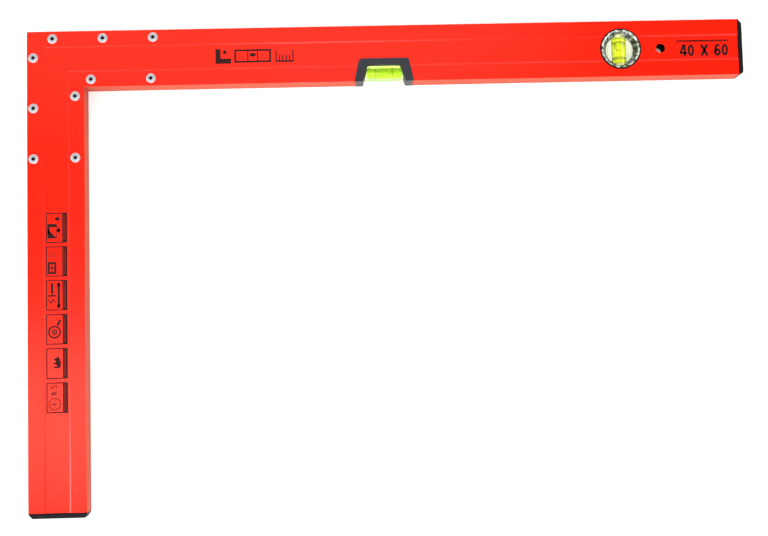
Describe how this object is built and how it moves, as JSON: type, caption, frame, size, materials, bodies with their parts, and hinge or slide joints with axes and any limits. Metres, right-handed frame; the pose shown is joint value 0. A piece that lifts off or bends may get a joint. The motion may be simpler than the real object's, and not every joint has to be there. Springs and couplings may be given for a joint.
{
  "type": "angle level",
  "caption": "L-shaped builders' square of riveted aluminium box section with a level vial and a plumb vial.",
  "frame": {"origin": "centre of the bounding box at its lowest height, as the square lies on its back", "axes": "+X along the long arm, away from the short one; +Y towards the outer face of the long arm; +Z out of the front face"},
  "size_m": [0.6044, 0.4046, 0.02],
  "materials": {
    "arm_coat": "satin",
    "corner_plate": "satin",
    "rivet": "satin",
    "mandrel": "matte",
    "end_cap": "matte",
    "vial_frame": "satin",
    "clear_block": "gloss",
    "clear_bezel": "gloss",
    "vial_fluid": "gloss",
    "gauge_ring": "matte",
    "vial_plug": "satin"
  },
  "bodies": {
    "root": {"long_arm_profile": "arm_coat", "short_arm_profile": "arm_coat", "front_corner_plate": "corner_plate", "back_corner_plate": "corner_plate", "long_arm_front_rivets": "rivet", "short_arm_front_rivets": "rivet", "long_arm_back_rivets": "rivet", "short_arm_back_rivets": "rivet", "front_rivet_mandrels": "mandrel", "back_rivet_mandrels": "mandrel", "long_arm_end_cap": "end_cap", "short_arm_end_cap": "end_cap", "level_vial_front_frame": "vial_frame", "level_vial_back_frame": "vial_frame", "level_vial_block": "clear_block", "level_vial_fluid": "vial_fluid", "level_vial_gauge_rings": "gauge_ring", "level_vial_plug": "vial_plug", "plumb_vial_front_bezel": "clear_bezel", "plumb_vial_back_bezel": "clear_bezel", "plumb_vial_block": "clear_block", "plumb_vial_fluid": "vial_fluid", "plumb_vial_gauge_rings": "gauge_ring", "plumb_vial_plug": "vial_plug"}
  },
  "joints": []
}
